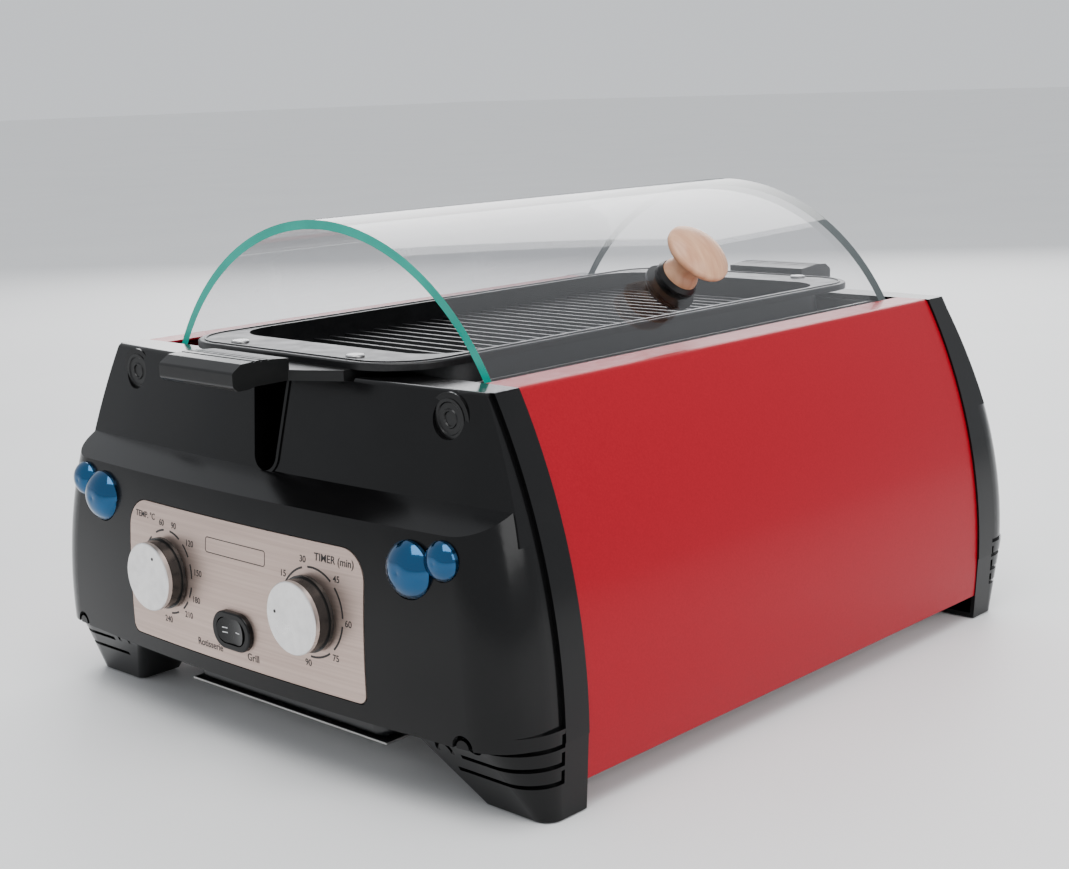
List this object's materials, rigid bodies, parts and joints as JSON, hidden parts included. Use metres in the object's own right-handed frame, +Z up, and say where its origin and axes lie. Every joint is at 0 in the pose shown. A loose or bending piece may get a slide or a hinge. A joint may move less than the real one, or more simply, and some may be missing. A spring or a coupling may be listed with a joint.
{
  "type": "rotisserie oven",
  "caption": "Table-top rotisserie oven with a rolling curved glass lid over an open chamber, a grill plate across the top, two dials and a rocker on the front.",
  "frame": {"origin": "middle of the rubber feet, on the surface the oven stands on", "axes": "+X to the right seen from the control panel, +Y from the control panel to the back, +Z up"},
  "size_m": [0.388, 0.532, 0.281],
  "materials": {
    "black_gloss": "gloss",
    "red_paint": "gloss",
    "champagne_metal": "brushed",
    "satin_metal": "satin",
    "rocker_black": "satin",
    "lens_blue": "gloss",
    "lid_glass": "clear",
    "pale_wood": "satin",
    "grill_coating": "matte non-stick",
    "tray_enamel": "gloss enamel",
    "bright_steel": "brushed",
    "track_plastic": "matte",
    "element_sheath": "oxidised",
    "gear_nylon": "satin",
    "foot_rubber": "matte",
    "terminal_ceramic": "glazed"
  },
  "bodies": {
    "body": {"base_pan": "bright_steel", "base_screws": "bright_steel", "chamber_liner": "bright_steel", "control_plate": "champagne_metal", "cord_gland": "foot_rubber", "front_bulkhead": "bright_steel", "front_cap": "black_gloss", "front_cap_screws": "bright_steel", "front_left_lid_track": "track_plastic", "front_right_lid_track": "track_plastic", "front_screw_plugs": "rocker_black", "left_large_lens": "lens_blue", "left_side_panel": "red_paint", "left_small_lens": "lens_blue", "lower_element_clips": "bright_steel", "lower_heating_element": "element_sheath", "motor_bracket": "bright_steel", "rear_bulkhead": "bright_steel", "rear_cap": "black_gloss", "rear_cap_screws": "bright_steel", "rear_left_lid_track": "track_plastic", "rear_right_lid_track": "track_plastic", "rear_screw_plugs": "rocker_black", "right_large_lens": "lens_blue", "right_side_panel": "red_paint", "right_small_lens": "lens_blue", "rubber_feet": "foot_rubber", "spit_bearing": "rocker_black", "spit_motor": "bright_steel", "switch_bezel": "black_gloss", "terminal_block": "terminal_ceramic", "thermostat_body": "rocker_black", "timer_body": "rocker_black", "upper_element_clips": "bright_steel", "upper_heating_element": "element_sheath"},
    "lid": {"glass_lid": "lid_glass", "lid_knob": "pale_wood", "lid_knob_ferrule": "rocker_black", "lid_knob_screw": "bright_steel", "lid_knob_washer": "rocker_black"},
    "plate": {"grill_plate": "grill_coating", "front_grill_handle": "rocker_black", "rear_grill_handle": "rocker_black", "handle_rivets": "bright_steel"},
    "tray": {"drip_tray": "tray_enamel"},
    "temperature_dial": {"temperature_knob": "black_gloss", "temperature_knob_face": "satin_metal", "temperature_shaft": "bright_steel"},
    "timer_dial": {"timer_knob": "black_gloss", "timer_knob_face": "satin_metal", "timer_shaft": "bright_steel"},
    "rocker": {"switch_rocker": "rocker_black"},
    "spit_drive": {"drive_gear": "gear_nylon", "drive_socket": "bright_steel"},
    "pinion": {"motor_pinion": "gear_nylon"}
  },
  "joints": [
    {"name": "lid_roll", "type": "hinge", "parent": "body", "child": "lid", "pos_m": [0, 0, 0.1345], "axis": [0, -1, 0], "range_deg": [0, 65]},
    {"name": "plate_lift", "type": "slide", "parent": "body", "child": "plate", "axis": [0, 0, 1], "range_m": [0, 0.012]},
    {"name": "tray_slide", "type": "slide", "parent": "body", "child": "tray", "axis": [0, -1, 0], "range_m": [0, 0.3]},
    {"name": "temperature_turn", "type": "hinge", "parent": "body", "child": "temperature_dial", "pos_m": [-0.0615, -0.257, 0.091], "axis": [0, 1, 0], "range_deg": [-90, 180]},
    {"name": "timer_turn", "type": "hinge", "parent": "body", "child": "timer_dial", "pos_m": [0.0615, -0.257, 0.091], "axis": [0, 1, 0], "range_deg": [0, 270]},
    {"name": "mode_rock", "type": "hinge", "parent": "body", "child": "rocker", "pos_m": [-0.001, -0.25063, 0.0695], "axis": [0, 0, 1], "range_deg": [-9, 9]},
    {"name": "spit_turn", "type": "hinge", "parent": "body", "child": "spit_drive", "pos_m": [0, 0.195, 0.161], "axis": [0, 1, 0], "continuous": true},
    {"name": "pinion_turn", "type": "hinge", "parent": "body", "child": "pinion", "pos_m": [0, 0.195, 0.116], "axis": [0, 1, 0], "continuous": true}
  ],
  "couplings": [
    {"joint": "pinion_turn", "follows": "spit_turn", "ratio": -3.5}
  ]
}
